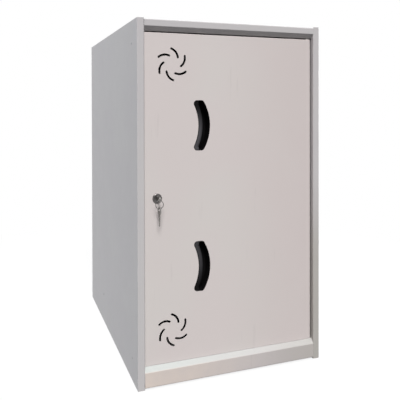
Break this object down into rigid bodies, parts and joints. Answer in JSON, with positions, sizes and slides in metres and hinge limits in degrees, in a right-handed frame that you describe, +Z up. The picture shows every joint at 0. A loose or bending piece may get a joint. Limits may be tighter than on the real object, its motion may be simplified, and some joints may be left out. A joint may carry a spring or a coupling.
{
  "type": "luggage locker",
  "caption": "Free-standing sheet-steel luggage locker with a recessed hinged door, arc-shaped finger pulls, pinwheel vents and a cam lock with its key and a spare on a ring.",
  "frame": {"origin": "on the floor, in the middle of the whole footprint with the key in the lock counted in", "axes": "+Z up, -Y out of the door, +X to the right seen from the front"},
  "size_m": [0.5074, 0.713, 0.9],
  "materials": {
    "cabinet_paint": "satin light grey powder coat",
    "door_paint": "satin light grey powder coat",
    "rivet_paint": "satin grey paint over aluminium rivets",
    "buffer_rubber": "matt black",
    "pull_plastic": "matt black moulding",
    "bush_nylon": "natural nylon",
    "lock_chrome": "polished nickel plate",
    "zinc_steel": "bright zinc plate",
    "wafer_brass": "plain brass",
    "key_steel": "nickel-plated steel",
    "ring_steel": "bright steel wire"
  },
  "bodies": {
    "cabinet": {"left_side_panel": "cabinet_paint", "right_side_panel": "cabinet_paint", "top_panel": "cabinet_paint", "header_rail": "cabinet_paint", "floor_panel": "cabinet_paint", "sill_rail": "cabinet_paint", "back_panel": "cabinet_paint", "left_stop_post": "cabinet_paint", "right_stop_post": "cabinet_paint", "left_side_rivets": "rivet_paint", "right_side_rivets": "rivet_paint", "back_rivets": "rivet_paint", "door_buffers": "buffer_rubber", "upper_pivot_pin": "zinc_steel", "lower_pivot_pin": "zinc_steel"},
    "door": {"door_skin": "door_paint", "door_stiffener": "door_paint", "upper_pull_cup": "pull_plastic", "lower_pull_cup": "pull_plastic", "upper_pivot_bush": "bush_nylon", "lower_pivot_bush": "bush_nylon", "lock_housing": "lock_chrome", "lock_washer": "zinc_steel", "lock_nut": "zinc_steel"},
    "lock_core": {"lock_plug": "lock_chrome", "lock_wafers": "wafer_brass", "lock_cam": "zinc_steel", "cam_screw": "zinc_steel", "key_in_lock": "key_steel"},
    "ring": {"key_ring": "ring_steel"},
    "spare": {"spare_key": "key_steel"}
  },
  "joints": [
    {"name": "door_hinge", "type": "hinge", "parent": "cabinet", "child": "door", "pos_m": [0.2243, -0.3215, 0.46115], "axis": [0, 0, 1], "range_deg": [0, 95]},
    {"name": "lock_turn", "type": "hinge", "parent": "door", "child": "lock_core", "pos_m": [-0.2005, -0.3285, 0.46115], "axis": [0, 1, 0], "range_deg": [0, 90]},
    {"name": "ring_roll", "type": "hinge", "parent": "lock_core", "child": "ring", "pos_m": [-0.2005, -0.3493, 0.4558], "axis": [0, 1, 0], "range_deg": [-90, 0]},
    {"name": "spare_key_swing", "type": "hinge", "parent": "ring", "child": "spare", "pos_m": [-0.2005, -0.3493, 0.43908], "axis": [1, 0, 0], "range_deg": [-25, 25]}
  ],
  "couplings": [
    {"joint": "ring_roll", "follows": "lock_turn", "ratio": -1}
  ]
}
